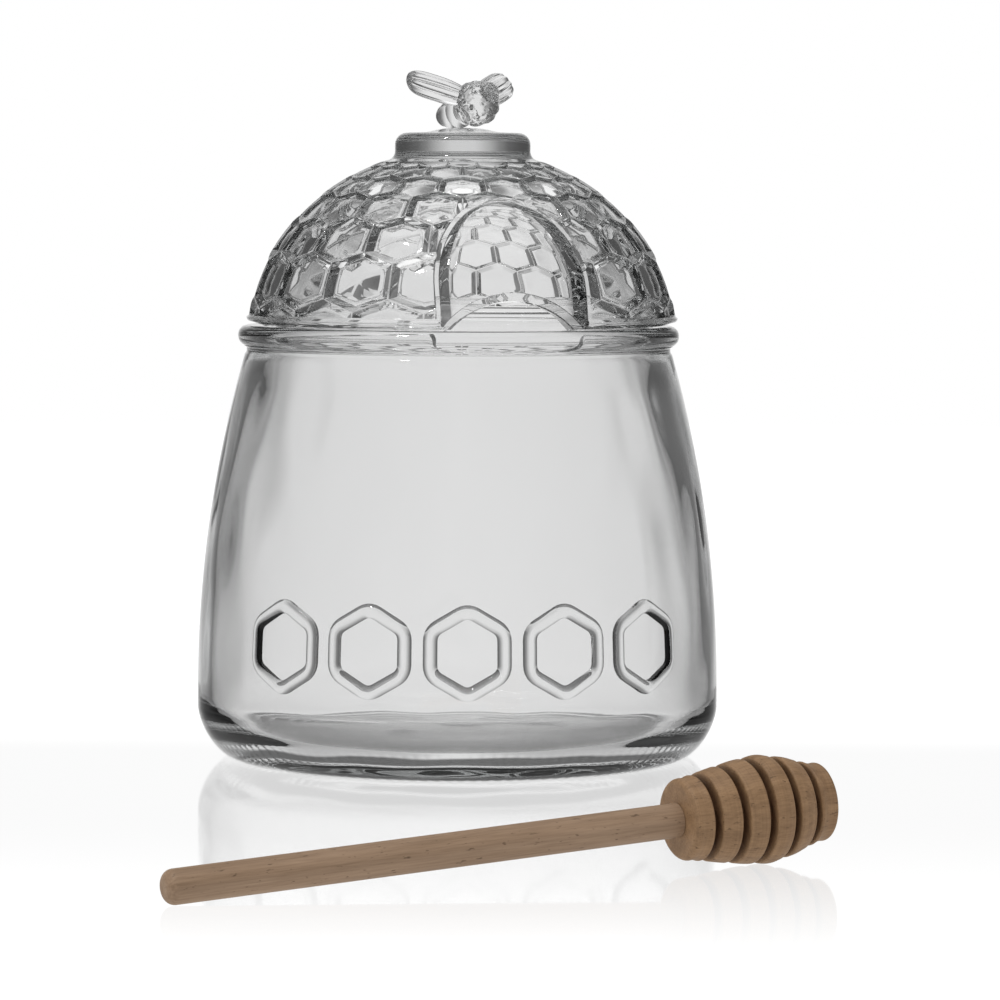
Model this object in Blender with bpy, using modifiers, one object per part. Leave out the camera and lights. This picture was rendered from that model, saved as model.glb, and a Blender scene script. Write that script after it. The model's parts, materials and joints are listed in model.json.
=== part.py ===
"""Beehive honey jar of pressed glass with its lid, and a turned wooden honey dipper lying before it.

Metres, +Z up. The front of the jar faces -Y. The jar, its lid and the dipper rest on z = 0 or on
each other. The origin is the middle of the whole set's footprint.
"""

import math

import bmesh
import bpy
from mathutils import Matrix, Vector

SET_NAME = "honey_jar_with_dipper"
GAP = 0.0003

# Jar wall
JAR_SIDES = 48
BASE_RADIUS = 0.0533
BELLY_RADIUS = 0.0616
BELLY_HEIGHT = 0.0165
HEEL_HEIGHT = 0.012
HEEL_POWER = 1.6
SHOULDER_CURVE = 1.78
WALL_TOP = 0.0953
WALL_THIN = 0.0031
WALL_THICK = 0.0057
THIN_AT = 0.019
THICK_AT = 0.091
FLOOR_HEIGHT = 0.0048
FLOOR_CORNER = 0.0100
PUNT_HEIGHT = 0.0016
BEARING_WIDTH = 0.0030

# Jar rim
MOUTH_RADIUS = 0.0457
NECK_RADIUS = 0.0501
BEAD_RADIUS = 0.0521
BEAD_BOTTOM = 0.0972
RIM_HEIGHT = 0.1020
RIM_ROUND = 0.0013
BEAD_ROUND = 0.0022

# Raised hexagon outlines round the front of the jar
MOTIF_COUNT = 5
MOTIF_MIDDLE = 0.0300
MOTIF_HEIGHT = 0.0195
MOTIF_STEP = math.radians(21.2)
MOTIF_TURN = math.radians(2.6)
MOTIF_STROKE = 0.0033
MOTIF_RELIEF = 0.0010
MOTIF_SIDE_STEPS = 3

# Lid
LID_SIDES = 36
LID_SHIFT = 0.0008
LID_TURN = math.radians(15.1)
DOME_RADIUS = 0.0509
DOME_RISE = 0.0456
DOME_MIDDLE = 0.0983
DOME_WALL = 0.0068
BAND_TOP = 0.1044
BAND_RADIUS = 0.0510
BAND_BOTTOM = 0.1030
SEAT_OUTER = 0.0480
SEAT_INNER = 0.0447
FLANGE_OUTER = 0.0440
FLANGE_INNER = 0.0416
FLANGE_BOTTOM = 0.0980
COLLAR_RADIUS = 0.0160
COLLAR_TOP = 0.1474
COLLAR_ROUND = 0.0028
COLLAR_FOOT = 0.0022
INNER_START = 0.1080
MOUND_RADIUS = 0.0072
MOUND_HEIGHT = 0.0012

# Honeycomb on the dome
CELLS_AROUND = 18
CELL_ROWS = 6
CELL_PITCH = 2 * math.pi / CELLS_AROUND
ROW_RISE = 0.2435
CELL_TIP = 0.625
CELL_SIDE = 0.375
FIRST_ROW_HEIGHT = 0.1056
CELL_TURN = math.radians(-4.6)
CELL_MOUTH = 0.93
CELL_FLOOR = 0.74
CELL_DEPTH = 0.0012
CELL_BRIM = 0.0002
CELL_CAP = 0.0003
CELL_CAP_WIDTH = 0.55
COLLAR_CLEARANCE = 0.0022

# Door in the dome's front and the notch below it
DOOR_HALF_WIDTH = 0.0166
DOOR_SPRING = 0.1115
DOOR_TOP = 0.1314
PANEL_DEPTH = 0.0036
PANEL_TOP_DEPTH = 0.0025
PANEL_SETBACK = 0.0347
DOOR_FRAME = 0.0014
NOTCH_HALF_WIDTH = 0.0196
NOTCH_SPRING = 0.0889
NOTCH_TOP = 0.1085
CUTTER_NEAR = 0.028
CUTTER_FAR = 0.062
CORE_SIDES = 120

# Bee
BEE_TURN = math.radians(30.7)
THORAX_RADIUS = 0.0053
THORAX_AT = (0.0, -0.0046, 0.1543)
HEAD_RADIUS = 0.0031
HEAD_AT = (0.0, -0.0074, 0.1560)
ABDOMEN_RADIUS = 0.0038
ABDOMEN_LENGTH = 0.0112
ABDOMEN_START = (0.0, -0.0030, 0.1532)
ABDOMEN_PITCH = math.radians(12)
ABDOMEN_RINGS = 4
ABDOMEN_SIDES = 12
WING_LENGTH = 0.0172
WING_WIDTH = 0.0074
WING_THICKNESS = 0.0028
WING_ROOT = (0.0022, -0.0036, 0.1560)
WING_SWEEP = math.radians(20)
WING_RISE = math.radians(17)
WING_ROLL = math.radians(55)

# Dipper
DIPPER_FOOT = (-0.05272, -0.2380)
DIPPER_YAW = math.radians(27.0)
HANDLE_RADIUS = 0.00345
HANDLE_ROUND = 0.0022
HANDLE_VISIBLE = 0.1101
RING_RADII = (0.0082, 0.0093, 0.0103, 0.0109, 0.0098, 0.0079)
RING_WIDTH = 0.0041
GROOVE_WIDTH = 0.0016
GROOVE_DEPTH = 0.0028
RING_ROUND = 0.0009
RING_SLOPE = 0.3
DIPPER_SIDES = 22


def clear_scene():
    """Remove every object that the file holds."""
    for old in list(bpy.data.objects):
        bpy.data.objects.remove(old, do_unlink=True)


def new_collection(name):
    """Make a collection under the scene's own."""
    collection = bpy.data.collections.new(name)
    bpy.context.scene.collection.children.link(collection)
    return collection


def new_material(name, colour, roughness, transmission=0.0):
    """Make a Principled BSDF material."""
    material = bpy.data.materials.new(name)
    material.use_nodes = True
    shader = material.node_tree.nodes["Principled BSDF"]
    shader.inputs["Base Color"].default_value = (*colour, 1.0)
    shader.inputs["Roughness"].default_value = roughness
    shader.inputs["Metallic"].default_value = 0.0
    shader.inputs["Transmission Weight"].default_value = transmission
    return material


def add_object(name, mesh, collection, material=None):
    """Put a mesh into a collection as an object."""
    thing = bpy.data.objects.new(name, mesh)
    collection.objects.link(thing)
    if material is not None:
        mesh.materials.append(material)
    return thing


def mark_cutter(thing):
    """Show a cutter as wire only."""
    thing.hide_render = True
    thing.display_type = "WIRE"


def settle(thing):
    """Replace an object's mesh by what its modifiers make of it."""
    bpy.context.view_layer.update()
    graph = bpy.context.evaluated_depsgraph_get()
    mesh = bpy.data.meshes.new_from_object(thing.evaluated_get(graph))
    thing.modifiers.clear()
    thing.data = mesh


def combine(thing, operation, collection, solver="EXACT"):
    """Cut or join every object of a collection with this one."""
    step = thing.modifiers.new("join" if operation == "UNION" else "cut", "BOOLEAN")
    step.operation = operation
    step.solver = solver
    step.operand_type = "COLLECTION"
    step.collection = collection
    settle(thing)


def remove_all(collection):
    """Remove the objects of a collection once they are joined to something."""
    for thing in list(collection.objects):
        bpy.data.objects.remove(thing, do_unlink=True)
    bpy.data.collections.remove(collection)


def turned(name, profile, sides, collection, material=None):
    """Turn a profile of (radius, height) points about Z."""
    mesh = bpy.data.meshes.new(name)
    points = [(radius, 0.0, height) for radius, height in profile]
    edges = [(index, index + 1) for index in range(len(points) - 1)]
    mesh.from_pydata(points, edges, [])
    thing = add_object(name, mesh, collection, material)
    screw = thing.modifiers.new("turn", "SCREW")
    screw.axis = "Z"
    screw.angle = 2 * math.pi
    screw.steps = sides
    screw.render_steps = sides
    screw.use_merge_vertices = True
    screw.merge_threshold = 0.00001
    settle(thing)
    return thing


def shade(thing, angle=math.radians(35)):
    """Shade smooth, but keep the edges that turn by more than the angle."""
    thing.data.shade_smooth()
    thing.data.set_sharp_from_angle(angle=angle)


def arc(centre, radius_across, radius_up, start, end, steps):
    """Points of an elliptical arc in the profile plane, ends included."""
    points = []
    for step in range(steps + 1):
        angle = start + (end - start) * step / steps
        across = centre[0] + radius_across * math.cos(angle)
        up = centre[1] + radius_up * math.sin(angle)
        points.append((across, up))
    return points


def wall_radius(height):
    """Radius of the jar's outer wall at a height above the table."""
    if height < HEEL_HEIGHT:
        short = 1 - height / HEEL_HEIGHT
        bulge = (1 - short ** HEEL_POWER) ** (1 / HEEL_POWER)
        return BASE_RADIUS + (BELLY_RADIUS - BASE_RADIUS) * bulge
    return BELLY_RADIUS - SHOULDER_CURVE * max(0.0, height - BELLY_HEIGHT) ** 2


def inner_radius(height):
    """Radius of the jar's inside, whose wall thickens towards the neck."""
    share = min(1.0, max(0.0, (height - THIN_AT) / (THICK_AT - THIN_AT)))
    return wall_radius(height) - WALL_THIN - (WALL_THICK - WALL_THIN) * share ** 1.5


def jar_profile():
    """Section of the jar, from the middle of its floor over the rim to the middle of its underside."""
    quarter = math.pi / 2
    corner_top = FLOOR_HEIGHT + FLOOR_CORNER
    corner_across = inner_radius(corner_top) - FLOOR_CORNER
    points = [(0.0, FLOOR_HEIGHT)]
    points += arc((corner_across, corner_top), FLOOR_CORNER, FLOOR_CORNER, -quarter, 0.0, 4)
    for height in (0.036, 0.054, 0.070, 0.084):
        points.append((inner_radius(height), height))
    points.append((MOUTH_RADIUS, 0.0945))
    rim_inner = (MOUTH_RADIUS + RIM_ROUND, RIM_HEIGHT - RIM_ROUND)
    points += arc(rim_inner, RIM_ROUND, RIM_ROUND, 2 * quarter, quarter, 2)
    bead_upper = (BEAD_RADIUS - BEAD_ROUND, RIM_HEIGHT - BEAD_ROUND)
    points += arc(bead_upper, BEAD_ROUND, BEAD_ROUND, quarter, 0.0, 2)
    bead_lower = (BEAD_RADIUS - BEAD_ROUND, BEAD_BOTTOM + BEAD_ROUND)
    points += arc(bead_lower, BEAD_ROUND, BEAD_ROUND, 0.0, -quarter, 2)[1:]
    points.append((NECK_RADIUS, BEAD_BOTTOM - 0.0003))
    points.append((NECK_RADIUS, WALL_TOP + 0.0004))
    for height in (WALL_TOP, 0.082, 0.068, 0.054, 0.040, 0.026, HEEL_HEIGHT):
        points.append((wall_radius(height), height))
    for height in (0.0075, 0.0042, 0.0018, 0.0):
        points.append((wall_radius(height), height))
    bearing_inner = BASE_RADIUS - BEARING_WIDTH
    points.append((bearing_inner, 0.0))
    points.append((bearing_inner - 0.004, PUNT_HEIGHT * 0.6))
    points.append((0.0, PUNT_HEIGHT))
    return points


def hexagon_corner(index, radius):
    """Corner of an upright hexagon that stands on a point, as (across, up)."""
    angle = math.pi / 2 + index * math.pi / 3
    return Vector((radius * math.cos(angle), radius * math.sin(angle)))


def motif_path(middle_turn):
    """Points of one hexagon outline, laid on the jar's wall."""
    stroke_radius = motif_stroke_radius()
    sink = stroke_radius - MOTIF_RELIEF
    points = []
    for index in range(6):
        start = hexagon_corner(index, MOTIF_HEIGHT / 2)
        end = hexagon_corner(index + 1, MOTIF_HEIGHT / 2)
        for step in range(MOTIF_SIDE_STEPS):
            across, up = start.lerp(end, step / MOTIF_SIDE_STEPS)
            height = MOTIF_MIDDLE + up
            turn = middle_turn + across / BELLY_RADIUS
            radius = wall_radius(height) - sink
            points.append((radius * math.sin(turn), -radius * math.cos(turn), height))
    return points


def motif_stroke_radius():
    """Radius of the round bar that shows as the stroke's width and relief."""
    half = MOTIF_STROKE / 2
    return (half ** 2 + MOTIF_RELIEF ** 2) / (2 * MOTIF_RELIEF)


def round_bar(name, points, radius, collection):
    """Closed ring of round bar along the points, as a mesh."""
    curve = bpy.data.curves.new(name, "CURVE")
    curve.dimensions = "3D"
    spline = curve.splines.new("POLY")
    spline.points.add(len(points) - 1)
    for index, point in enumerate(points):
        spline.points[index].co = (*point, 1.0)
    spline.use_cyclic_u = True
    curve.bevel_depth = radius
    curve.bevel_resolution = 2
    guide = bpy.data.objects.new(name + "_guide", curve)
    collection.objects.link(guide)
    return mesh_from_curve(name, guide, collection)


def mesh_from_curve(name, guide, collection):
    """Turn a curve object into a welded mesh object, and remove the curve."""
    bpy.context.view_layer.update()
    graph = bpy.context.evaluated_depsgraph_get()
    mesh = bpy.data.meshes.new_from_object(guide.evaluated_get(graph))
    body = bmesh.new()
    body.from_mesh(mesh)
    bmesh.ops.remove_doubles(body, verts=body.verts, dist=0.00001)
    bmesh.ops.recalc_face_normals(body, faces=body.faces)
    body.to_mesh(mesh)
    body.free()
    thing = add_object(name, mesh, collection)
    thing.matrix_world = guide.matrix_world
    bpy.data.objects.remove(guide, do_unlink=True)
    return thing


def make_jar(collection, glass):
    """Jar with the raised hexagons joined to its wall."""
    jar = turned("jar", jar_profile(), JAR_SIDES, collection, glass)
    motifs = new_collection("motifs")
    first = MOTIF_TURN - MOTIF_STEP * (MOTIF_COUNT - 1) / 2
    for index in range(MOTIF_COUNT):
        path = motif_path(first + MOTIF_STEP * index)
        round_bar("motif_%d" % index, path, motif_stroke_radius(), motifs)
    combine(jar, "UNION", motifs)
    remove_all(motifs)
    shade(jar)
    return jar


def dome_point(angle, inset=0.0):
    """Point (radius, height) of the dome's outer face, or of one that lies inside it."""
    radius = (DOME_RADIUS - inset) * math.cos(angle)
    height = DOME_MIDDLE + (DOME_RISE - inset) * math.sin(angle)
    return radius, height


def dome_angle(height, inset=0.0):
    """Angle at which the dome's face reaches a height."""
    return math.asin((height - DOME_MIDDLE) / (DOME_RISE - inset))


def dome_speed(angle):
    """Length along the dome's section for each radian of the angle."""
    return math.hypot(DOME_RADIUS * math.sin(angle), DOME_RISE * math.cos(angle))


def climb(angle, rise, steps=24):
    """Dome angle reached by climbing a multiple of the local radius, so that cells keep their shape."""
    for _ in range(steps):
        radius = DOME_RADIUS * math.cos(angle)
        angle += rise / steps * radius / dome_speed(angle)
    return angle


def lid_profile():
    """Section of the lid, from the top of the mound down its outside and up its inside."""
    quarter = math.pi / 2
    points = [(0.0, COLLAR_TOP + MOUND_HEIGHT), (MOUND_RADIUS, COLLAR_TOP + MOUND_HEIGHT * 0.8)]
    points.append((MOUND_RADIUS + 0.0024, COLLAR_TOP))
    edge = (COLLAR_RADIUS - COLLAR_ROUND, COLLAR_TOP - COLLAR_ROUND)
    points += arc(edge, COLLAR_ROUND, COLLAR_ROUND, quarter, 0.0, 3)
    foot_across = COLLAR_RADIUS + COLLAR_FOOT
    foot_angle = math.acos(foot_across / DOME_RADIUS)
    foot_height = dome_point(foot_angle)[1]
    foot = (foot_across, foot_height + COLLAR_FOOT)
    points += arc(foot, COLLAR_FOOT, COLLAR_FOOT, 2 * quarter, 3 * quarter, 3)
    band_angle = dome_angle(BAND_TOP)
    dome_steps = 7
    for step in range(1, dome_steps + 1):
        points.append(dome_point(foot_angle + (band_angle - foot_angle) * step / dome_steps))
    points.append((BAND_RADIUS, BAND_BOTTOM + 0.0006))
    points.append((BAND_RADIUS - 0.0005, BAND_BOTTOM))
    seat = RIM_HEIGHT + GAP
    points.append((SEAT_OUTER, seat))
    points.append((SEAT_INNER, seat))
    points.append((FLANGE_OUTER, seat - 0.0005))
    points.append((FLANGE_OUTER, FLANGE_BOTTOM + 0.0005))
    points.append((FLANGE_OUTER - 0.0005, FLANGE_BOTTOM))
    points.append((FLANGE_INNER, FLANGE_BOTTOM))
    points.append((FLANGE_INNER, seat + 0.0010))
    inner_start = dome_angle(INNER_START, DOME_WALL)
    inner_steps = 5
    for step in range(inner_steps + 1):
        points.append(dome_point(inner_start + (quarter - inner_start) * step / inner_steps, DOME_WALL))
    points[-1] = (0.0, points[-1][1])
    return points


def cell_cutter(name, angle, collection):
    """Cutter for the cells of one row: six-sided, with a narrow floor and a cap clear of the dome."""
    radius = dome_point(angle)[0]
    half_width = radius * CELL_PITCH / 2
    half_height = radius * ROW_RISE * CELL_TIP
    sag = half_width ** 2 / (2 * DOME_RADIUS)
    slope = (CELL_MOUTH - CELL_FLOOR) / CELL_DEPTH
    brim = CELL_FLOOR + slope * (CELL_DEPTH + CELL_BRIM)
    profile = [
        (0.0, CELL_CAP),
        (CELL_CAP_WIDTH, CELL_CAP),
        (brim, CELL_BRIM - sag),
        (CELL_FLOOR, -CELL_DEPTH - sag),
        (0.0, -CELL_DEPTH - sag),
    ]
    cell = turned(name, profile, 6, collection)
    # The turned corners start at +X, so local X points up the dome and local Y across it.
    side_stretch = 2 * CELL_SIDE / CELL_TIP
    for vertex in cell.data.vertices:
        if abs(vertex.co.y) > 0.01:
            vertex.co.x *= side_stretch
    cell.data.transform(Matrix.Diagonal((half_height, half_width / math.cos(math.pi / 6), 1.0, 1.0)))
    return cell


def cell_place(angle, turn):
    """Matrix that sets a cell's cutter on the dome's face."""
    radius, height = dome_point(angle)
    outward = Vector((0.0, -DOME_RISE * math.cos(angle), DOME_RADIUS * math.sin(angle))).normalized()
    across = Vector((-1.0, 0.0, 0.0))
    upward = across.cross(outward)
    face = Matrix((upward, across, outward)).transposed().to_4x4()
    return Matrix.Rotation(turn, 4, "Z") @ Matrix.Translation((0.0, -radius, height)) @ face


def arch_cutter(name, half_width, foot, spring, top, collection):
    """Upright slab with an arched top, which runs through the dome's front."""
    outline = [(half_width, foot)]
    outline += arc((0.0, spring), half_width, top - spring, 0.0, math.pi, 14)
    outline.append((-half_width, foot))
    curve = bpy.data.curves.new(name, "CURVE")
    curve.dimensions = "2D"
    curve.fill_mode = "BOTH"
    curve.extrude = (CUTTER_FAR - CUTTER_NEAR) / 2
    spline = curve.splines.new("POLY")
    spline.points.add(len(outline) - 1)
    for index, (across, up) in enumerate(outline):
        spline.points[index].co = (across, up, 0.0, 1.0)
    spline.use_cyclic_u = True
    guide = bpy.data.objects.new(name + "_guide", curve)
    collection.objects.link(guide)
    stand = Matrix.Rotation(math.pi / 2, 4, "X")
    guide.matrix_world = Matrix.Translation((0.0, -(CUTTER_NEAR + CUTTER_FAR) / 2, 0.0)) @ stand
    thing = mesh_from_curve(name, guide, collection)
    mark_cutter(thing)
    return thing


def make_cells():
    """All the cells of the dome as one cutter, kept off the door, the band and the collar."""
    cells = new_collection("cells")
    angle = climb(dome_angle(FIRST_ROW_HEIGHT), -ROW_RISE)
    for row in range(CELL_ROWS + 1):
        middle = climb(angle, ROW_RISE * 2 / 3)
        offset = CELL_PITCH / 2 if row % 2 == 0 else 0.0
        first = cell_cutter("cell_%d" % row, middle, cells)
        for index in range(CELLS_AROUND):
            cell = first if index == 0 else add_object("cell_%d_%d" % (row, index), first.data, cells)
            cell.matrix_world = cell_place(middle, CELL_TURN + offset + index * CELL_PITCH)
        angle = climb(angle, ROW_RISE)
    joined = cells.objects[0]
    cells.objects.unlink(joined)
    cutters = new_collection("lid_cutters")
    cutters.objects.link(joined)
    joined.name = "cells"
    combine(joined, "UNION", cells, "MANIFOLD")
    remove_all(cells)

    plain = new_collection("plain_areas")
    arch_cutter(
        "door_surround",
        DOOR_HALF_WIDTH + DOOR_FRAME,
        BAND_BOTTOM - 0.005,
        DOOR_SPRING,
        DOOR_TOP + DOOR_FRAME,
        plain,
    )
    band = [(0.0, BAND_TOP + 0.0004), (0.07, BAND_TOP + 0.0004), (0.07, 0.09), (0.0, 0.09)]
    turned("band", band, LID_SIDES, plain)
    clear_radius = COLLAR_RADIUS + COLLAR_CLEARANCE + COLLAR_FOOT / 2
    collar = [(0.0, 0.16), (clear_radius, 0.16), (clear_radius, 0.12), (0.0, 0.12)]
    turned("collar", collar, LID_SIDES, plain)
    combine(joined, "DIFFERENCE", plain, "MANIFOLD")
    remove_all(plain)
    mark_cutter(joined)
    return cutters


def panel_distance(height):
    """How far before the axis the middle of the door's panel lies at a height."""
    share = min(1.0, max(0.0, (height - DOOR_SPRING) / (DOOR_TOP - DOOR_SPRING)))
    depth = PANEL_DEPTH + (PANEL_TOP_DEPTH - PANEL_DEPTH) * share ** 2
    return dome_point(dome_angle(height, depth), depth)[0]


def make_door(cutters):
    """Cutter for the door's recess, down to its panel, which is flatter across than the dome."""
    door = arch_cutter("door", DOOR_HALF_WIDTH, BAND_BOTTOM - 0.005, DOOR_SPRING, DOOR_TOP, cutters)
    core_mesh = new_collection("door_core")
    low = BAND_BOTTOM - 0.006
    high = DOOR_TOP + 0.001
    steps = 10
    profile = [(0.0, high)]
    for step in range(steps, -1, -1):
        height = BAND_BOTTOM + (high - BAND_BOTTOM) * step / steps
        profile.append((PANEL_SETBACK + panel_distance(height), height))
    profile.append((profile[-1][0], low))
    profile.append((0.0, low))
    core = turned("core", profile, CORE_SIDES, core_mesh)
    core.location = (0.0, PANEL_SETBACK, 0.0)
    combine(door, "DIFFERENCE", core_mesh, "MANIFOLD")
    remove_all(core_mesh)
    mark_cutter(door)


def ball(name, radii, place, collection, sides=14, rings=10):
    """Ellipsoid of three radii, placed by a matrix."""
    body = bmesh.new()
    bmesh.ops.create_uvsphere(body, u_segments=sides, v_segments=rings, radius=1.0)
    body.transform(place @ Matrix.Diagonal((*radii, 1.0)))
    mesh = bpy.data.meshes.new(name)
    body.to_mesh(mesh)
    body.free()
    return add_object(name, mesh, collection)


def make_bee(collection):
    """Pieces of the bee, which heads along -Y before it is turned."""
    turn = Matrix.Rotation(BEE_TURN, 4, "Z")
    thorax = turn @ Matrix.Translation(THORAX_AT)
    ball("thorax", (THORAX_RADIUS,) * 3, thorax, collection)
    head = turn @ Matrix.Translation(HEAD_AT)
    ball("head", (HEAD_RADIUS,) * 3, head, collection, 14, 8)

    ring_length = ABDOMEN_LENGTH / ABDOMEN_RINGS
    profile = [(0.0, ABDOMEN_LENGTH)]
    for ring in range(ABDOMEN_RINGS, 0, -1):
        for share in (0.95, 0.5, 0.05):
            height = (ring - 1 + share) * ring_length
            swell = math.sqrt(max(0.05, 1 - ((height / ABDOMEN_LENGTH - 0.35) / 0.68) ** 2))
            dent = 0.92 if share != 0.5 else 1.0
            profile.append((ABDOMEN_RADIUS * swell * dent, height))
    profile.append((0.0, 0.0))
    abdomen = turned("abdomen", profile, ABDOMEN_SIDES, collection)
    lean = Matrix.Rotation(-(math.pi / 2 + ABDOMEN_PITCH), 4, "X")
    abdomen.matrix_world = turn @ Matrix.Translation(ABDOMEN_START) @ lean

    for side in (-1, 1):
        root = Vector((WING_ROOT[0] * side, WING_ROOT[1], WING_ROOT[2]))
        along = Vector((side * math.cos(WING_SWEEP), math.sin(WING_SWEEP), math.tan(WING_RISE)))
        along.normalize()
        flat = along.cross(Vector((0.0, 0.0, 1.0))).normalized()
        upright = flat.cross(along)
        broad = flat * math.cos(WING_ROLL) * side - upright * math.sin(WING_ROLL)
        thick = along.cross(broad)
        middle = root + along * (WING_LENGTH / 2 - 0.001)
        frame = Matrix((along, broad, thick)).transposed().to_4x4()
        radii = (WING_LENGTH / 2, WING_WIDTH / 2, WING_THICKNESS / 2)
        ball("wing_%d" % side, radii, turn @ Matrix.Translation(middle) @ frame, collection, 12, 10)


def make_lid(collection, glass):
    """Lid with its honeycomb, door, notch and bee, as one piece of glass."""
    lid = turned("lid", lid_profile(), LID_SIDES, collection, glass)
    cutters = make_cells()
    make_door(cutters)
    arch_cutter("notch", NOTCH_HALF_WIDTH, NOTCH_SPRING - 0.001, NOTCH_SPRING, NOTCH_TOP, cutters)
    combine(lid, "DIFFERENCE", cutters, "MANIFOLD")
    bee = new_collection("bee")
    make_bee(bee)
    combine(lid, "UNION", bee, "MANIFOLD")
    remove_all(bee)
    lid.location = (LID_SHIFT, 0.0, 0.0)
    lid.rotation_euler = (0.0, 0.0, LID_TURN)
    shade(lid)
    return lid


def head_length():
    """Length of the dipper's head."""
    rings = len(RING_RADII)
    return rings * RING_WIDTH + (rings - 1) * GROOVE_WIDTH


def head_profile():
    """Section of the head, from its tip down over the rings to its face."""
    length = head_length()
    pitch = RING_WIDTH + GROOVE_WIDTH
    points = [(0.0, length)]
    count = len(RING_RADII)
    for index in range(count - 1, -1, -1):
        low = index * pitch
        high = low + RING_WIDTH
        radius = RING_RADII[index]
        above = RING_RADII[min(index + 1, count - 1)]
        below = RING_RADII[max(index - 1, 0)]
        high_radius = radius + (above - radius) * RING_SLOPE
        low_radius = radius + (below - radius) * RING_SLOPE
        points.append((high_radius - RING_ROUND, high))
        points.append((high_radius, high - RING_ROUND))
        points.append((radius, (low + high) / 2))
        points.append((low_radius, low + RING_ROUND))
        points.append((low_radius - RING_ROUND, low))
        if index > 0:
            waist = min(radius, below) - GROOVE_DEPTH
            points.append((waist, low))
            points.append((waist, low - GROOVE_WIDTH))
    points.append((0.0, 0.0))
    return points


def handle_profile():
    """Section of the handle, from the end at the head down to its rounded free end."""
    quarter = math.pi / 2
    top = HANDLE_VISIBLE - GAP
    points = [(0.0, top), (HANDLE_RADIUS, top), (HANDLE_RADIUS, HANDLE_VISIBLE / 2)]
    corner = (HANDLE_RADIUS - HANDLE_ROUND, HANDLE_ROUND)
    points += arc(corner, HANDLE_ROUND, HANDLE_ROUND, 0.0, -quarter, 3)
    points.append((0.0, 0.0))
    return points


def make_dipper(collection, wood, head_wood):
    """Handle and head of the dipper, which lies on the table on its widest ring and its handle's end."""
    widest = max(range(len(RING_RADII)), key=lambda index: RING_RADII[index])
    widest_at = HANDLE_VISIBLE + widest * (RING_WIDTH + GROOVE_WIDTH) + RING_WIDTH / 2
    handle_rest_at = HANDLE_ROUND
    rise = math.asin((RING_RADII[widest] - HANDLE_RADIUS) / (widest_at - handle_rest_at))
    foot_height = HANDLE_RADIUS * math.cos(rise) - handle_rest_at * math.sin(rise)
    foot_height += HANDLE_RADIUS * math.sin(rise) * math.tan(rise)
    lay = Matrix.Rotation(DIPPER_YAW, 4, "Z") @ Matrix.Rotation(math.pi / 2 - rise, 4, "Y")
    place = Matrix.Translation((*DIPPER_FOOT, foot_height)) @ lay
    handle = turned("dipper_handle", handle_profile(), DIPPER_SIDES, collection, wood)
    handle.matrix_world = place
    shade(handle)
    head = turned("dipper_head", head_profile(), DIPPER_SIDES, collection, head_wood)
    head.matrix_world = place @ Matrix.Translation((0.0, 0.0, HANDLE_VISIBLE))
    shade(head)
    return handle, head


def centre_set(parts):
    """Carry the whole set on an empty that puts the middle of its footprint on the origin."""
    bpy.context.view_layer.update()
    corners = []
    for part in parts:
        corners += [part.matrix_world @ vertex.co for vertex in part.data.vertices]
    low = [min(corner[axis] for corner in corners) for axis in range(3)]
    high = [max(corner[axis] for corner in corners) for axis in range(3)]
    carrier = bpy.data.objects.new(SET_NAME, None)
    bpy.context.scene.collection.objects.link(carrier)
    for part in parts:
        part.parent = carrier
    carrier.location = (-(low[0] + high[0]) / 2, -(low[1] + high[1]) / 2, -low[2])
    bpy.context.view_layer.update()


def main():
    """Build the set."""
    clear_scene()
    collection = new_collection(SET_NAME)
    glass = new_material("clear_glass", (0.86, 0.87, 0.87), 0.02, 1.0)
    wood = new_material("handle_wood", (0.30, 0.20, 0.13), 0.55)
    head_wood = new_material("head_wood", (0.25, 0.16, 0.09), 0.55)
    jar = make_jar(collection, glass)
    lid = make_lid(collection, glass)
    handle, head = make_dipper(collection, wood, head_wood)
    centre_set([jar, lid, handle, head])


main()
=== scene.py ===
"""Looks of a beehive honey jar of pressed glass with its lid, and of the wooden dipper before it.

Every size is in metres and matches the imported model, whose nodes these pieces stand for.
"""

import json
import math

import bmesh
import bpy
import numpy as np
from mathutils import Matrix, Vector, noise

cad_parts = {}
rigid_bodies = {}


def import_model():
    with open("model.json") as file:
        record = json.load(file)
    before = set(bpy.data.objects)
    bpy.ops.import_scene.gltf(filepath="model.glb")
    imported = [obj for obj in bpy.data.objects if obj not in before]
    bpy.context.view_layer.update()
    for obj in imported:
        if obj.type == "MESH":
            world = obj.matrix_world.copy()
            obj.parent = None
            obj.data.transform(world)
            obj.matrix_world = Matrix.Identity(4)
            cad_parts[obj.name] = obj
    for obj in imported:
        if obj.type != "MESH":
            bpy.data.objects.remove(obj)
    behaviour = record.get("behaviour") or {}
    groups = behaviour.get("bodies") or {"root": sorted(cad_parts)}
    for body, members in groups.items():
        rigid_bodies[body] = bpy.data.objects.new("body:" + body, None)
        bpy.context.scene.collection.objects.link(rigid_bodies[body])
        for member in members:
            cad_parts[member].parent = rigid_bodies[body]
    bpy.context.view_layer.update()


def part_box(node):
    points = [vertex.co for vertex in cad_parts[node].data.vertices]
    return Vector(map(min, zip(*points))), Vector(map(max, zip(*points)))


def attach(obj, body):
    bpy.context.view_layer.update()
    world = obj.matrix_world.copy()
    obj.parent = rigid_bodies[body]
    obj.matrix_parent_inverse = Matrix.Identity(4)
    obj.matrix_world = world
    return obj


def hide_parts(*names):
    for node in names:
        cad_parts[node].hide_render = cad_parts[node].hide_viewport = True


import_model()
QUARTER = math.pi / 2

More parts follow.
